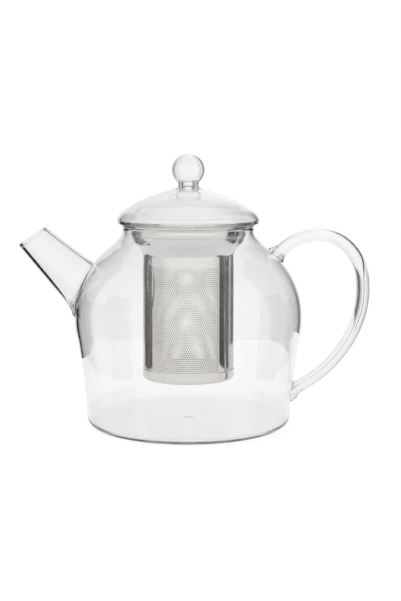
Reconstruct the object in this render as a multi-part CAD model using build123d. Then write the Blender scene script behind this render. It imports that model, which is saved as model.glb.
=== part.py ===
from build123d import *
from math import cos, degrees, radians, sin, tan
import os

# A lamp-blown borosilicate teapot with a steel strainer hung in its neck and a domed lid.
# Millimetres. The origin is the centre of the flat underside, +Z is up, the handle is
# towards +X and the spout towards -X, so the XZ plane cuts both in half.
os.makedirs("parts", exist_ok=True)

# ---- the pot --------------------------------------------------------------------------
WALL = 1.9  # blown glass of the body
FLOOR = 2.6
FOOT_R = 56.4  # edge of the flat underside
# Outside of the wall, radius and height, from above the rounded foot to the neck.
SIDE = [
    (61.8, 5.6), (62.3, 15.0), (64.2, 32.0), (66.6, 48.0), (68.5, 65.0), (66.9, 78.5),
    (62.5, 89.5), (55.0, 100.2), (47.5, 107.2), (41.8, 112.5), (39.2, 117.0),
]
NECK_R = SIDE[-1][0]
SIDE_STEPS = 14  # stretches of the long side curve's inner face
RIM_Z = 119.6  # top of the fire-polished rim
PONTIL_R, PONTIL_DEPTH = 2.4, 0.2  # small round mark in the middle of the floor

# ---- the spout, a cone about a slanted axis ---------------------------------------------
SPOUT_APEX = (-152.3, 170.7)  # x and z of the point that the cone would end in
SPOUT_TILT = 44.2  # of the axis below level, going from the mouth to the body
SPOUT_HALF_ANGLE = 6.68
SPOUT_WALL = 1.7
CONE_START, CONE_END = 60.0, 136.0  # along the axis, well past the mouth and the body's wall
FLARE_START, FLARE_END, FLARE_R = 126.0, 133.0, 17.6  # along the axis, where it fuses on
MOUTH_AT = (-93.1, 113.4)  # middle of the mouth
MOUTH_TILT = 33.6  # of the mouth's plane from level, its low side outwards
LIP_R = 1.25  # bead round the mouth

# ---- the handle, a bent glass rod -------------------------------------------------------
ROD_R = 3.95
ROD_PATH = [
    (50.8, 100.4), (56.0, 105.6), (61.5, 110.1), (69.5, 113.3), (78.9, 114.7),
    (87.7, 113.2), (95.2, 108.6), (100.9, 101.6), (104.3, 93.2), (105.5, 82.5),
    (104.2, 69.0), (99.7, 56.2), (92.8, 44.4), (84.3, 34.6), (74.3, 26.6), (66.0, 21.6),
    (60.4, 18.3),
]
PAD_R, PAD_HEIGHT = 6.0, 7.5  # gather of glass where each end fuses on
PAD_TOP_AT, PAD_FOOT_AT = (51.6, 101.2), (61.0, 18.7)  # inside the wall, at the two ends

# ---- the strainer, three pieces of thin steel sheet -------------------------------------
SHEET = 0.5
BEAD_AT, BEAD_R = (39.2, 120.7), 0.65  # rolled edge that hangs on the pot's rim
FLANGE_ROUND = 0.9  # bend from the flange down into the collar
# Middle of the collar's sheet, radius and height, from under its flange to the sleeve.
COLLAR_BOWL = [
    (34.6, 119.4), (34.4, 116.0), (33.6, 112.6), (31.9, 109.4), (29.5, 106.6), (27.5, 104.2),
    (26.75, 102.7),
]
SLEEVE_R, SLEEVE_SHEET = 27.4, 0.4  # outside of the perforated sleeve
SLEEVE_Z = (30.4, 102.6)
SKIRT_Z = 98.5  # the collar's lower edge, inside the sleeve
SEAM_ANGLE, SEAM_WIDTH = -45.0, 5.0  # the sleeve's lapped seam
CAP_Z, CAP_TOP_Z, CAP_CORNER = 28.5, 34.5, 1.8
LAP_GAP = 0.4  # from the cap's edge to the lapped seam

# ---- the lid ---------------------------------------------------------------------------
LID_Z = 121.7
LID_R = 42.5
LID_WALL = 1.9
RIM_CORNER = 0.8
# Outside of the dome, radius and height, from the top of its rim to the knob's foot.
DOME = [(42.5, 124.4), (40.9, 127.4), (34.4, 132.1), (25.1, 136.8), (15.2, 140.3), (7.8, 142.4)]
SHELF_Z = 123.6  # top of the ring that closes the rim underneath
LOCATING_R, LOCATING_WALL, LOCATING_Z = 31.0, 2.0, 112.6
LOCATING_BEND, LOCATING_ROOT = 1.2, 1.0  # its bend inside, and its fillet under the rim
BORE_R = 3.2  # the blown knob is open to the lid through this
NECK_TOP_Z = 146.2
NECK_WAIST = (6.1, 144.4)
BALL_Z, BALL_R, BALL_WALL = 153.5, 9.85, 1.0


def turned(face):
    """The solid that a profile of radius and height sweeps about +Z."""
    return revolve(Plane.XZ * face, Axis.Z)


def moved_in(curve, wall, steps=8):
    """Points of the curve's inner side, square to it, for a curve that runs upwards."""
    points = []
    for i in range(steps + 1):
        at, along = curve.position_at(i / steps), curve.tangent_at(i / steps)
        points.append((at.X - wall * along.Y, at.Y + wall * along.X))
    return points


def save(solid, name):
    solid.label = name
    export_step(solid, f"parts/{name}.step")


# ---- pot: outside as a closed solid, then the wall ---------------------------------------
side = Spline(*SIDE, tangents=[(0.02, 1), (0, 1)])
lip_r = WALL / 2
lip = (NECK_R, RIM_Z - lip_r), (NECK_R - lip_r, RIM_Z), (NECK_R - WALL, RIM_Z - lip_r)
outside = [
    Line((0, 0), (FOOT_R, 0)),
    TangentArc((FOOT_R, 0), SIDE[0], tangent=(1, 0)),
    side,
    Line(SIDE[-1], lip[0]),
]
filled = turned(make_face(outside + [
    ThreePointArc(*lip),
    Line(lip[2], (0, RIM_Z - lip_r)),
    Line((0, RIM_Z - lip_r), (0, 0)),
]))
inner = moved_in(side, WALL, SIDE_STEPS)
inner_side = Spline(*inner, tangents=[(0.02, 1), (0, 1)])
floor_r = inner[0][0] - (inner[0][1] - FLOOR)
pot_wall = turned(make_face(outside + [
    ThreePointArc(*lip),
    Line(lip[2], inner[-1]),
    inner_side,
    TangentArc((floor_r, FLOOR), inner[0], tangent=(1, 0)),
    Line((floor_r, FLOOR), (PONTIL_R, FLOOR)),
    TangentArc((0, FLOOR - PONTIL_DEPTH), (PONTIL_R, FLOOR), tangent=(1, 0)),
    Line((0, FLOOR - PONTIL_DEPTH), (0, 0)),
]))

# ---- spout -----------------------------------------------------------------------------
spout_frame = Plane(
    origin=(SPOUT_APEX[0], 0, SPOUT_APEX[1]),
    x_dir=(0, 1, 0),
    z_dir=(cos(radians(SPOUT_TILT)), 0, -sin(radians(SPOUT_TILT))),
)
slope = tan(radians(SPOUT_HALF_ANGLE))


def spout_cone(inset):
    """The spout's cone with its flared foot, made smaller by inset, as a closed solid."""
    cone = Line((CONE_START * slope - inset, CONE_START), (FLARE_START * slope - inset, FLARE_START))
    foot = TangentArc(cone @ 1, (FLARE_R - inset, FLARE_END), tangent=cone % 1)
    end = (FLARE_R - inset, CONE_END + WALL * 5)
    return spout_frame * turned(make_face([
        cone, foot, Line(foot @ 1, end), Line(end, (0, end[1])),
        Line((0, end[1]), (0, CONE_START)), Line((0, CONE_START), cone @ 0),
    ]))


mouth = Plane(
    origin=(MOUTH_AT[0], 0, MOUTH_AT[1]),
    x_dir=(0, 1, 0),
    z_dir=(-sin(radians(MOUTH_TILT)), 0, cos(radians(MOUTH_TILT))),
)
beyond_mouth = mouth * Box(60, 60, 40, align=(Align.CENTER, Align.CENTER, Align.MIN))

bore = spout_frame * turned(make_face(Polyline(
    (0, CONE_START), (CONE_START * slope - SPOUT_WALL, CONE_START),
    (CONE_END * slope - SPOUT_WALL, CONE_END), (0, CONE_END), close=True,
)))
middle = spout_cone(SPOUT_WALL / 2)
lip_path = section(middle, section_by=mouth).faces()[0].outer_wire()
lip_bead = sweep(Plane(origin=lip_path @ 0, z_dir=lip_path % 0) * Circle(LIP_R), path=lip_path)
spout = spout_cone(0) - beyond_mouth + lip_bead - bore - filled
spout = max(spout.solids(), key=lambda s: s.volume)
vessel = pot_wall - bore

# ---- handle ----------------------------------------------------------------------------
rod_path = Spline(*[(x, 0, z) for x, z in ROD_PATH])
rod = sweep(Plane(origin=rod_path @ 0, z_dir=rod_path % 0) * Circle(ROD_R), path=rod_path)


def pad(near, far):
    """The gather at one end of the rod, widening along the rod towards the wall."""
    way = Vector(far[0] - near[0], 0, far[1] - near[1]).normalized()
    foot = Plane(origin=(near[0], 0, near[1]), z_dir=way)
    within_rod = ROD_R - 0.05
    return foot * Cone(PAD_R, within_rod, PAD_HEIGHT, align=(Align.CENTER, Align.CENTER, Align.MIN))


handle = rod + pad(PAD_TOP_AT, ROD_PATH[1]) + pad(PAD_FOOT_AT, ROD_PATH[-2]) - filled
handle = max(handle.solids(), key=lambda s: s.volume)

# ---- strainer --------------------------------------------------------------------------
half = SHEET / 2
flange_z = BEAD_AT[1] - BEAD_R + half
skirt_r = SLEEVE_R - SLEEVE_SHEET - half
bowl = Spline(*COLLAR_BOWL, tangents=[(0, -1), (0, -1)])
bowl_r, bowl_z = COLLAR_BOWL[0]
bend_r = bowl_r + FLANGE_ROUND
outer = moved_in(bowl, half)
inner = list(reversed(moved_in(bowl, -half)))
collar_sheet = make_face([
    Line((BEAD_AT[0], flange_z - half), (bend_r, flange_z - half)),
    TangentArc((bend_r, flange_z - half), outer[0], tangent=(-1, 0)),
    Spline(*outer, tangents=[(0, -1), (0, -1)]),
    Line(outer[-1], (skirt_r + half, SKIRT_Z)),
    Line((skirt_r + half, SKIRT_Z), (skirt_r - half, SKIRT_Z)),
    Line((skirt_r - half, SKIRT_Z), inner[0]),
    Spline(*inner, tangents=[(0, 1), (0, 1)]),
    TangentArc(inner[-1], (bend_r, flange_z + half), tangent=(0, 1)),
    Line((bend_r, flange_z + half), (BEAD_AT[0], flange_z + half)),
    Line((BEAD_AT[0], flange_z + half), (BEAD_AT[0], flange_z - half)),
])
collar = turned(collar_sheet + Pos(*BEAD_AT) * Circle(BEAD_R))

sleeve_in = SLEEVE_R - SLEEVE_SHEET
height = SLEEVE_Z[1] - SLEEVE_Z[0]
tube = Pos(0, 0, SLEEVE_Z[0]) * (
    extrude(Circle(SLEEVE_R) - Circle(sleeve_in), height)
)
lap_angle = degrees(SEAM_WIDTH / SLEEVE_R)
lap_low = CAP_TOP_Z + LAP_GAP
lap_in = SLEEVE_R - SLEEVE_SHEET / 4  # starts inside the tube, so that the two are one solid
lap_profile = Plane.XZ * make_face(Polyline(
    (lap_in, lap_low), (SLEEVE_R + SLEEVE_SHEET, lap_low),
    (SLEEVE_R + SLEEVE_SHEET, SLEEVE_Z[1]), (lap_in, SLEEVE_Z[1]), close=True,
))
lap = Rot(0, 0, SEAM_ANGLE - lap_angle / 2) * revolve(lap_profile, Axis.Z, revolution_arc=lap_angle)
sleeve = tube + lap

cap_r = SLEEVE_R + SHEET
flat_r = cap_r - CAP_CORNER
cap = turned(make_face([
    Line((0, CAP_Z), (flat_r, CAP_Z)),
    TangentArc((flat_r, CAP_Z), (cap_r, CAP_Z + CAP_CORNER), tangent=(1, 0)),
    Line((cap_r, CAP_Z + CAP_CORNER), (cap_r, CAP_TOP_Z)),
    Line((cap_r, CAP_TOP_Z), (SLEEVE_R, CAP_TOP_Z)),
    Line((SLEEVE_R, CAP_TOP_Z), (SLEEVE_R, CAP_Z + CAP_CORNER)),
    TangentArc((flat_r, CAP_Z + SHEET), (SLEEVE_R, CAP_Z + CAP_CORNER), tangent=(1, 0)),
    Line((flat_r, CAP_Z + SHEET), (0, CAP_Z + SHEET)),
    Line((0, CAP_Z + SHEET), (0, CAP_Z)),
]))

# ---- lid -------------------------------------------------------------------------------
dome_curve = Spline(*DOME, tangents=[(-0.15, 1), (-1, 0.22)])
dome_in = moved_in(dome_curve, LID_WALL)
dome_inside = Spline(*dome_in, tangents=[(-0.15, 1), (-1, 0.22)])
rim_in, rim_flat = LID_R - LID_WALL, LID_R - RIM_CORNER
dome = turned(make_face([
    Line((rim_in, LID_Z), (rim_flat, LID_Z)),
    TangentArc((rim_flat, LID_Z), (LID_R, LID_Z + RIM_CORNER), tangent=(1, 0)),
    Line((LID_R, LID_Z + RIM_CORNER), DOME[0]),
    dome_curve,
    Line(DOME[-1], (BORE_R, DOME[-1][1])),
    Line((BORE_R, DOME[-1][1]), (BORE_R, dome_in[-1][1])),
    Line((BORE_R, dome_in[-1][1]), dome_in[-1]),
    dome_inside,
    Line(dome_in[0], (rim_in, SHELF_Z)),
    Line((rim_in, SHELF_Z), (rim_in, LID_Z)),
]))
locating_in = LOCATING_R - LOCATING_WALL
locating_lip = LOCATING_Z + LOCATING_WALL / 2
locating = turned(make_face([
    Line((rim_in, LID_Z), (rim_in, SHELF_Z)),
    Line((rim_in, SHELF_Z), (locating_in + LOCATING_BEND, SHELF_Z)),
    TangentArc((locating_in + LOCATING_BEND, SHELF_Z), (locating_in, SHELF_Z - LOCATING_BEND),
               tangent=(-1, 0)),
    Line((locating_in, SHELF_Z - LOCATING_BEND), (locating_in, locating_lip)),
    ThreePointArc((locating_in, locating_lip), (LOCATING_R - LOCATING_WALL / 2, LOCATING_Z),
                  (LOCATING_R, locating_lip)),
    Line((LOCATING_R, locating_lip), (LOCATING_R, LID_Z - LOCATING_ROOT)),
    TangentArc((LOCATING_R, LID_Z - LOCATING_ROOT), (LOCATING_R + LOCATING_ROOT, LID_Z), tangent=(0, 1)),
    Line((LOCATING_R + LOCATING_ROOT, LID_Z), (rim_in, LID_Z)),
]))

seat_r = (BALL_R**2 - (BALL_Z - NECK_TOP_Z) ** 2) ** 0.5
neck = turned(make_face([
    Line((BORE_R, DOME[-1][1]), DOME[-1]),
    Spline(DOME[-1], NECK_WAIST, (seat_r - 0.1, NECK_TOP_Z), tangents=[(-1, 0.6), (0.3, 1)]),
    Line((seat_r - 0.1, NECK_TOP_Z), (BORE_R, NECK_TOP_Z)),
    Line((BORE_R, NECK_TOP_Z), (BORE_R, DOME[-1][1])),
]))
below_seat = Pos(0, 0, NECK_TOP_Z) * Box(30, 30, 20, align=(Align.CENTER, Align.CENTER, Align.MAX))
knob = Pos(0, 0, BALL_Z) * (Sphere(BALL_R) - Sphere(BALL_R - BALL_WALL)) - below_seat

for name, solid in {
    "vessel": vessel,
    "spout": spout,
    "handle": handle,
    "infuser_collar": collar,
    "infuser_sleeve": sleeve,
    "infuser_base": cap,
    "lid_dome": dome,
    "lid_locating_ring": locating,
    "lid_neck": neck,
    "lid_knob": knob,
}.items():
    save(solid, name)
    box = solid.bounding_box()
    print(name, len(solid.solids()), round(solid.volume / 1000, 2), box.min, box.max)
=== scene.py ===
from math import asin, atan2, cos, degrees, hypot, pi, radians, sin, sqrt, tan

import bmesh
import bpy
from mathutils import Matrix, Vector


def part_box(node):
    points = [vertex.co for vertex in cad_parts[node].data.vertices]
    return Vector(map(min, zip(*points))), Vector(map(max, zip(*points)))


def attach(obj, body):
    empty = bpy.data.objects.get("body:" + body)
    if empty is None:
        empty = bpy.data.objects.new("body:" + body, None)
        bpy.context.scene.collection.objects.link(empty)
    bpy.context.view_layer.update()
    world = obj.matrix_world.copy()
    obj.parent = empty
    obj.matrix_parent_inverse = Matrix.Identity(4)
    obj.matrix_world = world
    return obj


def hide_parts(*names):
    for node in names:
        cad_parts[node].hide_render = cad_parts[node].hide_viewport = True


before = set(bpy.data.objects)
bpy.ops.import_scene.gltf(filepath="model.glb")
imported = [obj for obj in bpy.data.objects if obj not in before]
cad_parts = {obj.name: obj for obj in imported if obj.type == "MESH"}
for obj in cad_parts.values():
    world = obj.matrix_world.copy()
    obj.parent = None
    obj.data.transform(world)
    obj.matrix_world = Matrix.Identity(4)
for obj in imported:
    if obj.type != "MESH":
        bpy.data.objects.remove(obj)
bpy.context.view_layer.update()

# Sizes are in millimetres, as radius and height on the pot's axis, until MM turns them
# into the frame's metres. The frame's boxes give the outer sizes.
MM = 0.001
ON_AXIS = 1e-6  # a smaller radius than this is a point on the axis


def cad(node):
    """Lowest and highest corner of a CAD node, in millimetres."""
    low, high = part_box(node)
    return low / MM, high / MM


# ---- outlines ---------------------------------------------------------------------------
def curve_through(points, steps=8, start=None, end=None):
    """Points of a smooth curve through these points; start and end are its directions there."""
    pts = [Vector(p) for p in points]
    n = len(pts)
    knots = [0.0]
    for a, b in zip(pts, pts[1:]):
        knots.append(knots[-1] + (b - a).length)
    slopes = []
    for i in range(n):
        if i == 0:
            slopes.append(Vector(start).normalized() if start else (pts[1] - pts[0]).normalized())
        elif i == n - 1:
            slopes.append(Vector(end).normalized() if end else (pts[-1] - pts[-2]).normalized())
        else:
            before, after = knots[i] - knots[i - 1], knots[i + 1] - knots[i]
            slopes.append(((pts[i] - pts[i - 1]) * (after / before)
                           + (pts[i + 1] - pts[i]) * (before / after)) / (before + after))
    out = []
    for i in range(n - 1):
        span = knots[i + 1] - knots[i]
        for k in range(steps):
            t = k / steps
            out.append(pts[i] * (1 + 2 * t) * (1 - t) ** 2 + slopes[i] * span * t * (1 - t) ** 2
                       + pts[i + 1] * t * t * (3 - 2 * t) + slopes[i + 1] * span * t * t * (t - 1))
    out.append(pts[-1])
    return out


def moved_in(curve, distance):
    """The curve's left-hand side, for a curve that runs upwards with the axis on its left."""
    out = []
    for i, p in enumerate(curve):
        a, b = curve[max(i - 1, 0)], curve[min(i + 1, len(curve) - 1)]
        along = (b - a).normalized()
        out.append(Vector((p.x - distance * along.y, p.y + distance * along.x)))
    return out


def arc(centre, radius, start, end, steps=8):
    """Points on an arc; the angles are in degrees from outwards, turning upwards."""
    return [
        Vector((centre[0] + radius * cos(radians(start + (end - start) * i / steps)),
                centre[1] + radius * sin(radians(start + (end - start) * i / steps))))
        for i in range(steps + 1)
    ]


def straight(a, b, steps=4):
    """Points inside the straight stretch from a to b, without its ends."""
    a, b = Vector(a), Vector(b)
    return [a.lerp(b, i / steps) for i in range(1, steps)]


# ---- meshes -----------------------------------------------------------------------------
def finish_mesh(name, bm, sharp=35.0):
    """Links the mesh as a smooth-shaded object, with a crease wherever it turns more than sharp."""
    bmesh.ops.recalc_face_normals(bm, faces=bm.faces)
    for face in bm.faces:
        face.smooth = True
    for edge in bm.edges:
        edge.smooth = len(edge.link_faces) == 2 and edge.calc_face_angle(0) < radians(sharp)
    mesh = bpy.data.meshes.new(name)
    bm.to_mesh(mesh)
    bm.free()
    obj = bpy.data.objects.new(name, mesh)
    bpy.context.scene.collection.objects.link(obj)
    return obj


def grid_faces(bm, rings, close_rings=True, close_path=True):
    """Joins rings of vertices into faces. A ring of one vertex is a pole."""
    pairs = list(zip(rings, rings[1:]))
    if close_path:
        pairs.append((rings[-1], rings[0]))
    for a, b in pairs:
        n = max(len(a), len(b))
        for i in range(n if close_rings else n - 1):
            j = (i + 1) % n
            corners = [a[i % len(a)], a[j % len(a)], b[j % len(b)], b[i % len(b)]]
            corners = [v for k, v in enumerate(corners) if v not in corners[:k]]
            if len(corners) > 2:
                bm.faces.new(corners)


def turned(bm, point, turns):
    """The ring of vertices that a point of radius and height makes about +Z, or its pole."""
    r, z = point
    if r < ON_AXIS:
        return [bm.verts.new((0, 0, z * MM))]
    angles = [2 * pi * k / turns for k in range(turns)]
    return [bm.verts.new((r * MM * cos(a), r * MM * sin(a), z * MM)) for a in angles]


def lathe(name, outline, turns=160, sharp=35.0, closed=True):
    """The outline of radius and height, turned about +Z."""
    bm = bmesh.new()
    rings = [turned(bm, point, turns) for point in outline]
    grid_faces(bm, rings, close_path=closed and len(rings[0]) > 1)
    return finish_mesh(name, bm, sharp)


# ---- the pot's body ---------------------------------------------------------------------
WALL, FLOOR = 1.9, 2.6
PONTIL_R, PONTIL_DEPTH = 9.0, 0.2
FOOT_R = 56.4
SIDE = [
    (61.8, 5.6), (62.3, 15.0), (64.2, 32.0), (66.6, 48.0), (68.5, 65.0), (66.9, 78.5),
    (62.5, 89.5), (55.0, 100.2), (47.5, 107.2), (41.8, 112.5), (39.2, 117.0),
]
RIM_Z = cad("vessel")[1].z
outer_side = curve_through(SIDE, 10, start=(0.02, 1), end=(0, 1))
inner_side = moved_in(outer_side, WALL)


def corner(start, end, steps=8):
    """A quarter turn from a level start to an upright end."""
    a, b = Vector(start), Vector(end)
    return [
        Vector((a.x + (b.x - a.x) * sin(pi / 2 * i / steps), b.y + (a.y - b.y) * cos(pi / 2 * i / steps)))
        for i in range(steps + 1)
    ]


lip_r = WALL / 2
neck_r = SIDE[-1][0]
outside = (
    [Vector((0, 0))] + straight((0, 0), (FOOT_R, 0), 12)
    + corner((FOOT_R, 0), SIDE[0]) + outer_side[1:]
    + arc((neck_r - lip_r, RIM_Z - lip_r), lip_r, 0, 180, 10)
)
floor_r = inner_side[0].x - (inner_side[0].y - FLOOR)
inside = (
    [Vector((PONTIL_R * i / 12, FLOOR - PONTIL_DEPTH * cos(pi / 2 * i / 12) ** 2)) for i in range(13)]
    + straight((PONTIL_R, FLOOR), (floor_r, FLOOR), 12)
    + corner((floor_r, FLOOR), inner_side[0]) + inner_side[1:]
)
vessel = lathe("pot_body", outside + list(reversed(inside)), 200, closed=False)

# ---- the spout --------------------------------------------------------------------------
SPOUT_APEX = Vector((-152.3, 0, 170.7))
SPOUT_TILT, SPOUT_HALF_ANGLE = 44.2, 6.68
SPOUT_WALL = 1.7
MOUTH_AT = Vector((-93.1, 0, 113.4))
MOUTH_TILT = 33.6
spout_way = Vector((cos(radians(SPOUT_TILT)), 0, -sin(radians(SPOUT_TILT))))
spout_up = Vector((sin(radians(SPOUT_TILT)), 0, cos(radians(SPOUT_TILT))))
mouth_normal = Vector((-sin(radians(MOUTH_TILT)), 0, cos(radians(MOUTH_TILT))))
spout_slope = tan(radians(SPOUT_HALF_ANGLE))


def body_radius(z):
    """Outside radius of the pot's body at this height."""
    for a, b in zip(outer_side, outer_side[1:]):
        if a.y <= z <= b.y:
            return a.x + (b.x - a.x) * (z - a.y) / (b.y - a.y)
    return outer_side[0].x if z < outer_side[0].y else outer_side[-1].x


FOOT_GATHER, FOOT_LENGTH = 2.2, 9.0  # extra radius under the spout where it fuses on


def solve(low, high, inside_test, steps=40):
    """Where inside_test changes from True at low to False at high."""
    for _ in range(steps):
        mid = (low + high) / 2
        if inside_test(mid):
            low = mid
        else:
            high = mid
    return (low + high) / 2


def spout_point(s, angle, inset, end=None):
    """A point on the spout; angle 0 is its upper side. end is where the plain cone would end."""
    r = s * spout_slope - inset
    if end is not None:
        t = min(1.0, max(0.0, 1 + (s - end) / FOOT_LENGTH))
        r += FOOT_GATHER * (0.15 + 0.85 * (1 - cos(angle)) / 2) * t ** 2.2
    side = spout_up * cos(angle) + Vector((0, 1, 0)) * sin(angle)
    return SPOUT_APEX + spout_way * s + side * r


def outside_body(p):
    return hypot(p.x, p.y) > body_radius(p.z)


def spout_side(angle, inset, steps):
    """The spout's side at this angle, from the mouth's plane to the pot's wall."""
    def past_mouth(s):
        return (spout_point(s, angle, inset) - MOUTH_AT).dot(mouth_normal) > 0

    def clear_of_body(s, gather=None):
        return outside_body(spout_point(s, angle, inset, gather))

    mouth = solve(60, 110, past_mouth)
    end, gather = solve(100, 150, clear_of_body), None
    if inset == 0:
        gather = end
        end = solve(gather - 1, gather + 14, lambda s: clear_of_body(s, gather))
    places = [mouth + (end - mouth) * i / steps for i in range(steps + 1)]
    return [spout_point(s, angle, inset, gather) for s in places]


def make_spout(turns=96, steps=40):
    """Outside and inside surfaces, a rolled lip between them and a ring face on the wall."""
    bm = bmesh.new()
    columns = []
    for k in range(turns):
        angle = 2 * pi * k / turns
        outer, inner = spout_side(angle, 0, steps), spout_side(angle, SPOUT_WALL, steps)
        a, b = outer[0], inner[0]
        middle, across = (a + b) / 2, (a - b) / 2
        bead = across.length * 1.16
        across.normalize()
        out = mouth_normal
        lip = []
        for i in range(-2, 13):
            turn = pi * i / 10
            lip.append(middle + across * bead * cos(turn) + out * bead * sin(turn))
        columns.append(list(reversed(outer))[:-2] + lip + inner[2:])
    rings = [[bm.verts.new(c[i] * MM) for c in columns] for i in range(len(columns[0]))]
    grid_faces(bm, rings)
    return finish_mesh("pot_spout", bm)


spout = make_spout()


def cut(obj, name, outline, place):
    """Takes a turned solid, put at place, out of obj."""
    tool = lathe(name, outline, 96, closed=False)
    tool.data.transform(place)
    modifier = obj.modifiers.new("cut", "BOOLEAN")
    modifier.operation, modifier.solver, modifier.object = "DIFFERENCE", "EXACT", tool
    bpy.context.view_layer.update()
    mesh = bpy.data.meshes.new_from_object(obj.evaluated_get(bpy.context.evaluated_depsgraph_get()))
    obj.modifiers.clear()
    obj.data = mesh
    bpy.data.objects.remove(tool)


spout_place = Matrix.Translation(SPOUT_APEX * MM) @ Matrix((
    (spout_up.x, 0, spout_way.x, 0), (0, 1, 0, 0), (spout_up.z, 0, spout_way.z, 0), (0, 0, 0, 1)))
bore = [(0, 95), (95 * spout_slope - SPOUT_WALL, 95), (140 * spout_slope - SPOUT_WALL, 140), (0, 140)]
cut(vessel, "bore", bore, spout_place)

# ---- the handle -------------------------------------------------------------------------
ROD_R = 3.95
BORE_WIDE, BORE_THIN = 2.8, 0.6  # radius over the top, and where the bend draws it thin
BORE_FROM, BORE_TO = 0.36, 0.46  # as a share of the handle's length
ROD_PATH = [
    (50.8, 100.4), (56.0, 105.6), (61.5, 110.1), (69.5, 113.3), (78.9, 114.7),
    (87.7, 113.2), (95.2, 108.6), (100.9, 101.6), (104.3, 93.2), (105.5, 82.5),
    (104.2, 69.0), (99.7, 56.2), (92.8, 44.4), (84.3, 34.6), (74.3, 26.6), (66.0, 21.6),
    (60.4, 18.3),
]
PAD_R, PAD_LENGTH = 6.0, 6.5


def make_handle(turns=48):
    """A rod along the path; both ends widen and are cut to the pot's outside."""
    path = curve_through(ROD_PATH, 10)
    path = [Vector((p.x, 0, p.y)) for p in path]
    lengths = [0.0]
    for a, b in zip(path, path[1:]):
        lengths.append(lengths[-1] + (b - a).length)

    def clear(p):
        return hypot(p.x, p.y) > body_radius(p.z)

    first = next(i for i, p in enumerate(path) if clear(p))
    last = len(path) - 1 - next(i for i, p in enumerate(reversed(path)) if clear(p))
    bm = bmesh.new()

    def ring(i, bore=False):
        along = (path[min(i + 1, len(path) - 1)] - path[i - 1]).normalized()
        side = Vector((0, 1, 0))
        up = along.cross(side)
        near = min(lengths[i] - lengths[first], lengths[last] - lengths[i])
        t = max(0.0, 1 - max(near, 0) / PAD_LENGTH)
        r = ROD_R + (PAD_R - ROD_R) * t ** 2.2
        if bore:
            share = (lengths[i] - lengths[first]) / (lengths[last] - lengths[first])
            t = min(1.0, max(0.0, (share - BORE_FROM) / (BORE_TO - BORE_FROM)))
            r = BORE_WIDE + (BORE_THIN - BORE_WIDE) * t * t * (3 - 2 * t)
        out = []
        for k in range(turns):
            a = 2 * pi * k / turns
            p = path[i] + side * r * cos(a) + up * r * sin(a)
            if i in (first - 1, last + 1) or not clear(p):
                way = along if i < len(path) / 2 else -along
                p = p + way * (solve(-14, 14, lambda d: not clear(p + way * d)) + 0.01)
            out.append(bm.verts.new(p * MM))
        return out

    span = range(first - 1, last + 2)
    grid_faces(bm, [ring(i) for i in span] + [ring(i, bore=True) for i in reversed(span)])
    bmesh.ops.remove_doubles(bm, verts=bm.verts, dist=1e-7)
    return finish_mesh("pot_handle", bm, 50)


handle = make_handle()

# ---- the strainer -----------------------------------------------------------------------
SHEET = 0.5
BEAD_AT, BEAD_R = (39.2, 120.7), 0.65
# Middle of the collar's sheet, radius and height, from under its flange to the sleeve.
COLLAR_BOWL = [(34.6, 119.4), (34.4, 116.0), (33.6, 112.6), (31.9, 109.4), (29.5, 106.6), (27.5, 104.2),
               (26.75, 102.7)]
SLEEVE_R, SLEEVE_SHEET = 27.4, 0.4
SLEEVE_LOW, SLEEVE_HIGH = cad("infuser_sleeve")[0].z, cad("infuser_sleeve")[1].z
SKIRT_Z = 98.5
CAP_Z, CAP_TOP_Z = cad("infuser_base")[0].z, cad("infuser_base")[1].z


def rounded(points, radius, steps=6):
    """The polyline with its inner corners rounded."""
    pts = [Vector(p) for p in points]
    out = [pts[0]]
    for a, b, c in zip(pts, pts[1:], pts[2:]):
        into, away = (b - a).normalized(), (c - b).normalized()
        turn = into.angle(away)
        cutback = radius * tan(turn / 2)
        p, q = b - into * cutback, b + away * cutback
        for i in range(steps + 1):
            t = i / steps
            out.append(p * (1 - t) ** 2 + b * 2 * t * (1 - t) + q * t * t)
    out.append(pts[-1])
    dense = []
    for a, b in zip(out, out[1:]):
        dense.append(a)
        count = int((b - a).length / 2.0)
        dense += straight(a, b, count + 1)
    return dense + [out[-1]]


def sheet_outline(line, thickness):
    """A closed outline round a line of sheet metal."""
    left, right = moved_in(line, thickness / 2), moved_in(line, -thickness / 2)
    return left + list(reversed(right))


flange_z = BEAD_AT[1] - BEAD_R + SHEET / 2
skirt_r = SLEEVE_R - SLEEVE_SHEET - SHEET / 2
bowl = curve_through(COLLAR_BOWL, 8, start=(0, -1), end=(0, -1))
run = (
    [Vector((BEAD_AT[0] - BEAD_R + 0.2, flange_z))]
    + straight((BEAD_AT[0] - BEAD_R + 0.2, flange_z), (COLLAR_BOWL[0][0] + 0.9, flange_z), 3)
    + arc((COLLAR_BOWL[0][0] + 0.9, flange_z - 0.9), 0.9, 90, 180, 6)
    + bowl[1:] + straight(bowl[-1], (skirt_r, SKIRT_Z), 3) + [Vector((skirt_r, SKIRT_Z))]
)
collar = lathe("infuser_collar_visual", sheet_outline(run, SHEET), 160)
bead = lathe("infuser_rolled_edge", arc(BEAD_AT, BEAD_R, 0, 345, 16), 160, sharp=80)

cap_r = SLEEVE_R + SHEET
cap_line = rounded([(0.0, CAP_Z + SHEET / 2), (cap_r - SHEET / 2, CAP_Z + SHEET / 2),
                    (cap_r - SHEET / 2, CAP_TOP_Z)], 1.6)
cap_outer, cap_inner = moved_in(cap_line, -SHEET / 2), moved_in(cap_line, SHEET / 2)
cap_outer[0].x = cap_inner[0].x = 0
cap = lathe("infuser_base_visual", cap_outer + list(reversed(cap_inner)), 160, closed=False)

HOLE_PITCH, HOLE_R = 1.36, 0.4
SEAM_ANGLE = -45.0
MESH_LOW, MESH_HIGH = 35.2, 98.4


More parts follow.
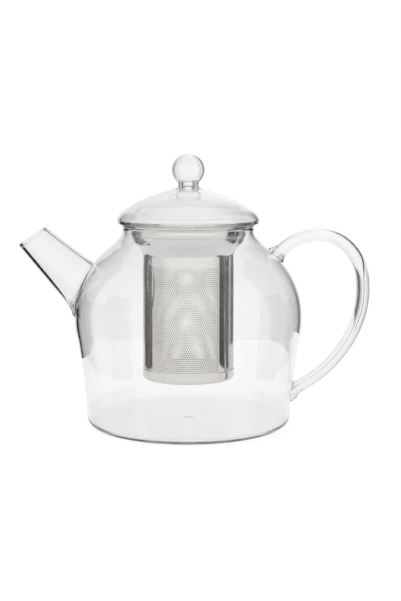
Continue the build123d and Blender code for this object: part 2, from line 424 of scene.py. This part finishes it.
def make_sleeve():
    """A perforated tube: staggered six-sided holes joined by the webs between them, with plain bands."""
    columns = int(round(2 * pi * SLEEVE_R / HOLE_PITCH))
    pitch = 2 * pi / columns
    row_height = HOLE_PITCH * sqrt(3) / 2
    rows = int((MESH_HIGH - MESH_LOW - 2 * HOLE_R) / row_height) + 1
    first_z = MESH_LOW + HOLE_R
    bm = bmesh.new()

    def on_sleeve(angle, z, r):
        return bm.verts.new((r * MM * cos(angle), r * MM * sin(angle), z * MM))

    def sheet_side(r, flip):
        """One side of the sheet: its holes' corners by row, column and corner, and its two end rings."""
        def face(*corners):
            bm.faces.new(tuple(reversed(corners)) if flip else corners)

        holes = []
        for row in range(rows):
            z = first_z + row * row_height
            line = []
            for column in range(columns):
                a = (column + 0.5 * (row % 2)) * pitch
                turns = [radians(30 + 60 * k) for k in range(6)]
                line.append([on_sleeve(a + HOLE_R * cos(t) / r, z + HOLE_R * sin(t), r) for t in turns])
            holes.append(line)
        for row, line in enumerate(holes):
            for column in range(columns):
                here, right = line[column], line[(column + 1) % columns]
                face(here[5], right[3], right[2], here[0])
                if row + 1 < rows:
                    step = row % 2
                    up_left = holes[row + 1][(column + step - 1) % columns]
                    up_right = holes[row + 1][(column + step) % columns]
                    face(here[0], up_right[4], up_right[3], here[1])
                    face(here[1], up_left[5], up_left[4], here[2])
                    face(here[1], up_right[3], up_left[5])
                    face(here[0], right[2], up_right[4])
        ends = []
        for row, corners, z in ((0, (3, 4, 5), SLEEVE_LOW), (rows - 1, (2, 1, 0), SLEEVE_HIGH)):
            edge = [holes[row][c][k] for c in range(columns) for k in corners]
            ring = [on_sleeve(atan2(v.co.y, v.co.x), z, r) for v in edge]
            for i in range(len(edge)):
                j = (i + 1) % len(edge)
                quad = (ring[i], ring[j], edge[j], edge[i])
                face(*(quad if row == 0 else reversed(quad)))
            ends.append(ring)
        return holes, ends

    outer, outer_ends = sheet_side(SLEEVE_R, False)
    inner, inner_ends = sheet_side(SLEEVE_R - SLEEVE_SHEET, True)
    for row in range(rows):
        for a, b in zip(outer[row], inner[row]):
            for i in range(6):
                j = (i + 1) % 6
                bm.faces.new((a[i], a[j], b[j], b[i]))
    for a, b in zip(outer_ends, inner_ends):
        grid_faces(bm, [a, b], close_path=False)
    return finish_mesh("infuser_sleeve_visual", bm, 50)


sleeve = make_sleeve()


def make_seam(width=5.0, steps=12):
    """The lapped strip of the sleeve's seam."""
    bm = bmesh.new()
    rings = []
    low, high = CAP_TOP_Z + 0.3, SLEEVE_HIGH
    r0, r1 = SLEEVE_R + 0.02, SLEEVE_R + SLEEVE_SHEET
    half = width / SLEEVE_R / 2
    for i in range(steps + 1):
        a = radians(SEAM_ANGLE) - half + 2 * half * i / steps
        rings.append([bm.verts.new((r * MM * cos(a), r * MM * sin(a), z * MM))
                      for r, z in ((r0, low), (r1, low), (r1, high), (r0, high))])
    grid_faces(bm, rings, close_path=False)
    bm.faces.new(rings[0])
    bm.faces.new(rings[-1])
    return finish_mesh("infuser_seam", bm)


seam = make_seam()

# ---- the lid ----------------------------------------------------------------------------
LID_Z = cad("lid_dome")[0].z
LID_R, LID_WALL = 42.5, 1.9
DOME = [(42.5, 124.4), (40.9, 127.4), (34.4, 132.1), (25.1, 136.8), (15.2, 140.3), (7.8, 142.4)]
SHELF_Z = 123.6
LOCATING_R, LOCATING_WALL, LOCATING_Z = 31.0, 2.0, 112.6
BORE_R = 3.2
NECK_TOP_Z = 146.2
NECK_WAIST = (6.1, 144.4)
BALL_Z, BALL_R, BALL_WALL = 153.5, 9.85, 1.0
RIM_ROUND, SHELF_ROUND, ROOT_ROUND = 0.8, 1.2, 1.0  # of the rim's lower edge and the ring's corners
TOUCH = 0.02  # kept between faces of glass that touch

dome_out = curve_through(DOME, 10, start=(-0.15, 1), end=(-1, 0.22))
dome_in = moved_in(dome_out, LID_WALL)
rim_in = LID_R - LID_WALL
dome = lathe(
    "lid_dome_visual",
    straight((rim_in, LID_Z), (LID_R - RIM_ROUND, LID_Z), 3)
    + corner((LID_R - RIM_ROUND, LID_Z), (LID_R, LID_Z + RIM_ROUND)) + dome_out
    + straight(dome_out[-1], (BORE_R, DOME[-1][1]), 4) + [Vector((BORE_R, DOME[-1][1]))]
    + [Vector((BORE_R, dome_in[-1].y))] + list(reversed(dome_in))
    + [Vector((rim_in, SHELF_Z)), Vector((rim_in, LID_Z))], 180)
loc_in = LOCATING_R - LOCATING_WALL
shelf_in = rim_in - TOUCH
loc_turn = LOCATING_WALL / 2
locating = lathe(
    "lid_locating_ring_visual",
    [Vector((shelf_in, LID_Z)), Vector((shelf_in, SHELF_Z))]
    + straight((rim_in, SHELF_Z), (loc_in + SHELF_ROUND, SHELF_Z), 5)
    + arc((loc_in + SHELF_ROUND, SHELF_Z - SHELF_ROUND), SHELF_ROUND, 90, 180, 6)
    + straight((loc_in, SHELF_Z - SHELF_ROUND), (loc_in, LOCATING_Z + loc_turn), 5)
    + arc((LOCATING_R - loc_turn, LOCATING_Z + loc_turn), loc_turn, 180, 360, 10)
    + straight((LOCATING_R, LOCATING_Z + loc_turn), (LOCATING_R, LID_Z - ROOT_ROUND), 5)
    + [Vector((LOCATING_R, LID_Z - ROOT_ROUND)),
       Vector((LOCATING_R + 0.3 * ROOT_ROUND, LID_Z - 0.3 * ROOT_ROUND)),
       Vector((LOCATING_R + ROOT_ROUND, LID_Z))]
    + straight((LOCATING_R + ROOT_ROUND, LID_Z), (rim_in, LID_Z), 5), 160)
seat_r = sqrt(BALL_R ** 2 - (BALL_Z - NECK_TOP_Z) ** 2)
neck_low, neck_high = DOME[-1][1] + TOUCH, NECK_TOP_Z - TOUCH
neck = lathe(
    "lid_neck_visual",
    [Vector((BORE_R, neck_low))]
    + curve_through([(DOME[-1][0], neck_low), NECK_WAIST, (seat_r - 0.1, neck_high)], 8,
                    start=(-1, 0.6), end=(0.3, 1))
    + [Vector((BORE_R, neck_high))], 96)
seat = degrees(asin((NECK_TOP_Z - BALL_Z) / BALL_R))
hollow_r = BALL_R - BALL_WALL
seat_in = degrees(asin((NECK_TOP_Z - BALL_Z) / hollow_r))
ball_out = arc((0, BALL_Z), BALL_R, seat, 89.99, 40)
ball_out[-1].x = 0
ball_in = arc((0, BALL_Z), hollow_r, 89.99, seat_in, 40)
ball_in[0].x = 0


def turned_shell(name, outer, inner, turns=96):
    """A shell with a pole on its outside and one on its inside, open at the other end."""
    bm = bmesh.new()
    out_rings = [turned(bm, point, turns) for point in outer]
    in_rings = [turned(bm, point, turns) for point in inner]
    grid_faces(bm, out_rings, close_path=False)
    grid_faces(bm, in_rings, close_path=False)
    grid_faces(bm, [out_rings[0], in_rings[-1]], close_path=False)
    return finish_mesh(name, bm)


knob = turned_shell("lid_knob_visual", ball_out, ball_in)

# ---- materials --------------------------------------------------------------------------
def material(name):
    """A new material, its node tree and its shader."""
    mat = bpy.data.materials.new(name)
    mat.use_nodes = True
    tree = mat.node_tree
    shader = tree.nodes["Principled BSDF"]
    return mat, tree, shader


def link(tree, a, out, b, into):
    """Joins an output of node a to an input of node b."""
    tree.links.new(a.outputs[out], b.inputs[into])


def glass(name, absorb=4.0, wave=0.02, wave_scale=60.0):
    """Clear borosilicate glass with a faint wave, which darkens a little with its thickness."""
    mat, tree, shader = material(name)
    shader.inputs["Transmission Weight"].default_value = 1.0
    shader.inputs["IOR"].default_value = 1.474
    shader.inputs["Roughness"].default_value = 0.0
    shader.inputs["Base Color"].default_value = (0.995, 0.997, 0.996, 1)
    coords = tree.nodes.new("ShaderNodeTexCoord")
    noise = tree.nodes.new("ShaderNodeTexNoise")
    noise.inputs["Scale"].default_value = wave_scale
    noise.inputs["Detail"].default_value = 1.0
    bump = tree.nodes.new("ShaderNodeBump")
    bump.inputs["Strength"].default_value = wave
    bump.inputs["Distance"].default_value = 0.001
    link(tree, coords, "Object", noise, "Vector")
    link(tree, noise, "Fac", bump, "Height")
    link(tree, bump, "Normal", shader, "Normal")
    inside = tree.nodes.new("ShaderNodeVolumeAbsorption")
    inside.inputs["Color"].default_value = (0.05, 0.0, 0.03, 1)
    inside.inputs["Density"].default_value = absorb
    output = next(n for n in tree.nodes if n.type == "OUTPUT_MATERIAL")
    link(tree, inside, "Volume", output, "Volume")
    return mat


def steel(name, roughness=0.055, vary=0.02, scale=(40, 40, 1400)):
    """Satin stainless sheet, with a fine grain round the basket."""
    mat, tree, shader = material(name)
    shader.inputs["Metallic"].default_value = 1.0
    shader.inputs["Base Color"].default_value = (0.72, 0.70, 0.685, 1)
    coords = tree.nodes.new("ShaderNodeTexCoord")
    mapping = tree.nodes.new("ShaderNodeMapping")
    mapping.inputs["Scale"].default_value = scale
    noise = tree.nodes.new("ShaderNodeTexNoise")
    noise.inputs["Scale"].default_value = 1.0
    noise.inputs["Detail"].default_value = 3.0
    rough = tree.nodes.new("ShaderNodeMapRange")
    rough.inputs["To Min"].default_value = roughness - vary
    rough.inputs["To Max"].default_value = roughness + vary
    bump = tree.nodes.new("ShaderNodeBump")
    bump.inputs["Strength"].default_value = 0.03
    bump.inputs["Distance"].default_value = 0.0001
    link(tree, coords, "Object", mapping, "Vector")
    link(tree, mapping, "Vector", noise, "Vector")
    link(tree, noise, "Fac", rough, "Value")
    link(tree, rough, "Result", shader, "Roughness")
    link(tree, noise, "Fac", bump, "Height")
    link(tree, bump, "Normal", shader, "Normal")
    return mat


GLASS = glass("clear_glass")
LID_GLASS = glass("clear_glass_lid", absorb=10.0)
STEEL = steel("satin_steel")

for obj, body, slot, mat, nodes in (
    (vessel, "pot", "glass", GLASS, ["vessel"]),
    (spout, "pot", "glass", GLASS, ["spout"]),
    (handle, "pot", "glass", GLASS, ["handle"]),
    (collar, "infuser", "steel", STEEL, ["infuser_collar"]),
    (bead, "infuser", "steel", STEEL, []),
    (sleeve, "infuser", "steel", STEEL, ["infuser_sleeve"]),
    (seam, "infuser", "steel", STEEL, []),
    (cap, "infuser", "steel", STEEL, ["infuser_base"]),
    (dome, "lid", "glass", LID_GLASS, ["lid_dome"]),
    (locating, "lid", "glass", GLASS, ["lid_locating_ring"]),
    (neck, "lid", "glass", GLASS, ["lid_neck"]),
    (knob, "lid", "glass", GLASS, ["lid_knob"]),
):
    obj.data.materials.clear()
    obj.data.materials.append(mat)
    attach(obj, body)
    if nodes:
        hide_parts(*nodes)

# ---- floor, light and camera ------------------------------------------------------------
FLOOR_R, FLOOR_DROP = 0.30, 0.0002  # metres; it lies just under the pot's foot
FLOOR_GLOW, FLOOR_GLOW_SEEN = 0.76, 0.88  # in reflections and through glass, and seen directly
bm = bmesh.new()
bmesh.ops.create_circle(bm, cap_ends=True, segments=96, radius=FLOOR_R)
floor = finish_mesh("floor", bm)
floor.location.z = -FLOOR_DROP
mat, tree, shader = material("floor_white")
shader.inputs["Base Color"].default_value = (0.15, 0.15, 0.15, 1)
shader.inputs["Roughness"].default_value = 0.6
shader.inputs["Emission Color"].default_value = (1, 1, 1, 1)
rays = tree.nodes.new("ShaderNodeLightPath")
seen = tree.nodes.new("ShaderNodeMapRange")
seen.inputs["To Min"].default_value = FLOOR_GLOW
seen.inputs["To Max"].default_value = FLOOR_GLOW_SEEN
link(tree, rays, "Is Camera Ray", seen, "Value")
link(tree, seen, "Result", shader, "Emission Strength")
floor.data.materials.append(mat)


def depth_below(tree, output, limit):
    """1 on paths whose count of that kind of bounce is below the limit, otherwise 0."""
    count = tree.nodes.new("ShaderNodeLightPath")
    below = tree.nodes.new("ShaderNodeMath")
    below.operation = "LESS_THAN"
    below.inputs[1].default_value = limit
    link(tree, count, output, below, 0)
    return below


def through_thin_walls(tree):
    """1 on paths that have only been refracted, through more faces than one thin wall has."""
    not_reflected = depth_below(tree, "Glossy Depth", 0.5)
    few_faces = depth_below(tree, "Transmission Depth", 2.5)
    both = tree.nodes.new("ShaderNodeMath")
    both.operation = "SUBTRACT"
    both.use_clamp = True
    link(tree, not_reflected, 0, both, 0)
    link(tree, few_faces, 0, both, 1)
    return both


# Black cards beside the pot, out of the picture, which only reflections show: they draw the dark
# bands on the steel and the edges of the glass. Each is an upright sheet from one place on the
# floor to another, up to a height, in metres.
CARD_FOOT = 0.001
CARDS = {
    "card_right": ((0.176, 0.088), (0.226, -0.046), 0.32),
    "card_left": ((-0.134, 0.149), (-0.206, 0.026), 0.26),
}
card_black, tree, shader = material("card_black")
tree.nodes.remove(shader)
black = tree.nodes.new("ShaderNodeEmission")
black.inputs["Strength"].default_value = 0.0
clear = tree.nodes.new("ShaderNodeBsdfTransparent")
choose = tree.nodes.new("ShaderNodeMixShader")
link(tree, depth_below(tree, "Glossy Depth", 0.5), 0, choose, "Fac")
link(tree, black, 0, choose, 1)
link(tree, clear, 0, choose, 2)
link(tree, choose, 0, next(n for n in tree.nodes if n.type == "OUTPUT_MATERIAL"), "Surface")


def make_card(name, near, far, high):
    """An upright black sheet over the line from near to far."""
    bm = bmesh.new()
    corners = [(*near, CARD_FOOT), (*far, CARD_FOOT), (*far, high), (*near, high)]
    bm.faces.new([bm.verts.new(c) for c in corners])
    card = finish_mesh(name, bm)
    card.data.materials.append(card_black)
    card.visible_camera = card.visible_diffuse = card.visible_shadow = False


for card_name, card_place in CARDS.items():
    make_card(card_name, *card_place)

world = bpy.data.worlds.new("studio")
bpy.context.scene.world = world
world.use_nodes = True
tree = world.node_tree
tree.nodes.clear()
output = tree.nodes.new("ShaderNodeOutputWorld")
shown = tree.nodes.new("ShaderNodeBackground")
shown.inputs["Color"].default_value = (1, 1, 1, 1)
light = tree.nodes.new("ShaderNodeBackground")
mix = tree.nodes.new("ShaderNodeMixShader")
path = tree.nodes.new("ShaderNodeLightPath")
coords = tree.nodes.new("ShaderNodeTexCoord")
split = tree.nodes.new("ShaderNodeSeparateXYZ")


def math(operation, a, b=None, c=None):
    """A Math node; a, b and c are sockets or numbers. Returns its output."""
    node = tree.nodes.new("ShaderNodeMath")
    node.operation = operation
    for socket, value in zip(node.inputs, (a, b, c)):
        if isinstance(value, (int, float)):
            socket.default_value = value
        elif value is not None:
            tree.links.new(value, socket)
    return node.outputs[0]


def by_angle(stops, low, high, angle):
    """A ramp of brightness against an angle in radians; stops are in degrees from low to high."""
    ramp = tree.nodes.new("ShaderNodeValToRGB")
    span = high - low
    tree.links.new(math("MULTIPLY_ADD", angle, 180 / pi / span, -low / span), ramp.inputs["Fac"])
    elements = ramp.color_ramp.elements
    while len(elements) < len(stops):
        elements.new(0.5)
    for element, (at, value) in zip(elements, stops):
        element.position = (at - low) / span
        element.color = (value, value, value, 1)
    return ramp.outputs["Color"]


link(tree, coords, "Generated", split, "Vector")
azimuth = math("ARCTAN2", split.outputs["X"], split.outputs["Y"])
elevation = math("ARCSINE", split.outputs["Z"])
# Light by compass angle from +Y, turning towards +X, near the table's level: what polished
# surfaces reflect and thick glass bends in, with a dark flag on each side of a bright backdrop.
LIGHT_ROUND = [
    (-180, 1.12), (-125, 1.05), (-108, 0.85), (-95, 0.85), (-75, 0.8), (-60, 0.45), (-40, 0.45),
    (-27, 0.6), (-14, 0.84), (0, 0.9), (8, 1.0), (14, 0.86), (20, 0.5), (28, 0.1), (42, 0.1),
    (49, 0.6), (58, 0.5), (78, 0.3), (96, 0.8), (120, 1.05), (180, 1.12),
]
# Share of that light by height, and the light of the room above.
SIDE_SHARE = [(-90, 0.0), (-40, 0.0), (-30, 1.0), (45, 1.0), (55, 0.0), (90, 0.0)]
LIGHT_ABOVE = [
    (-90, 0.95), (-35, 0.95), (-25, 0.9), (25, 0.9), (35, 0.7), (55, 0.7), (62, 1.0), (90, 1.0),
]
# The same backdrop as the thin walls show it, without the flags.
SEEN_THROUGH = [
    (-180, 0.92), (-48, 0.92), (-27, 0.68), (-14, 0.82), (0, 0.89), (8, 0.98), (14, 0.86), (22, 0.68),
    (42, 0.92), (180, 0.92),
]
SEEN_SHARE = [(-90, 0.0), (-10, 0.0), (3, 1.0), (90, 1.0)]  # fades out downwards, to meet the floor
SEEN_LOW = 0.9


def mixed(amount, a, b):
    """A colour between a and b; each is a socket, or a number for a grey."""
    node = tree.nodes.new("ShaderNodeMix")
    node.data_type = "RGBA"
    sockets = {i.identifier: i for i in node.inputs}
    for name, value in (("Factor_Float", amount), ("A_Color", a), ("B_Color", b)):
        if isinstance(value, float):
            sockets[name].default_value = (value, value, value, 1)
        else:
            tree.links.new(value, sockets[name])
    return next(o for o in node.outputs if o.identifier == "Result_Color")


round_about = by_angle(LIGHT_ROUND, -180, 180, azimuth)
share = by_angle(SIDE_SHARE, -90, 90, elevation)
above = by_angle(LIGHT_ABOVE, -90, 90, elevation)
shaped = mixed(share, above, round_about)
seen_share = by_angle(SEEN_SHARE, -90, 90, elevation)
seen_through = mixed(seen_share, SEEN_LOW, by_angle(SEEN_THROUGH, -180, 180, azimuth))
thin_walls = through_thin_walls(tree).outputs[0]
tree.links.new(mixed(thin_walls, shaped, seen_through), light.inputs["Color"])
light.inputs["Strength"].default_value = 1.0
link(tree, path, "Is Camera Ray", mix, "Fac")
tree.links.new(light.outputs[0], mix.inputs[1])
tree.links.new(shown.outputs[0], mix.inputs[2])
link(tree, mix, "Shader", output, "Surface")

scene = bpy.context.scene
scene.view_settings.view_transform = "Standard"
BOUNCES = 64  # light that runs along inside the glass goes black with fewer
scene.cycles.max_bounces = scene.cycles.transmission_bounces = BOUNCES
scene.cycles.glossy_bounces = scene.cycles.transparent_max_bounces = BOUNCES

CAMERA_AT = Vector((0.0073, -0.72, 0.171))
PITCH = 7.6  # degrees down
SENSOR, LENS = 36, 71.8802  # millimetres; the sensor spans the picture's height
data = bpy.data.cameras.new("camera")
data.sensor_width = data.sensor_height = SENSOR
data.lens = LENS
camera = bpy.data.objects.new("camera", data)
scene.collection.objects.link(camera)
camera.location = CAMERA_AT
camera.rotation_euler = (radians(90 - PITCH), 0, 0)
scene.camera = camera

bpy.context.view_layer.update()
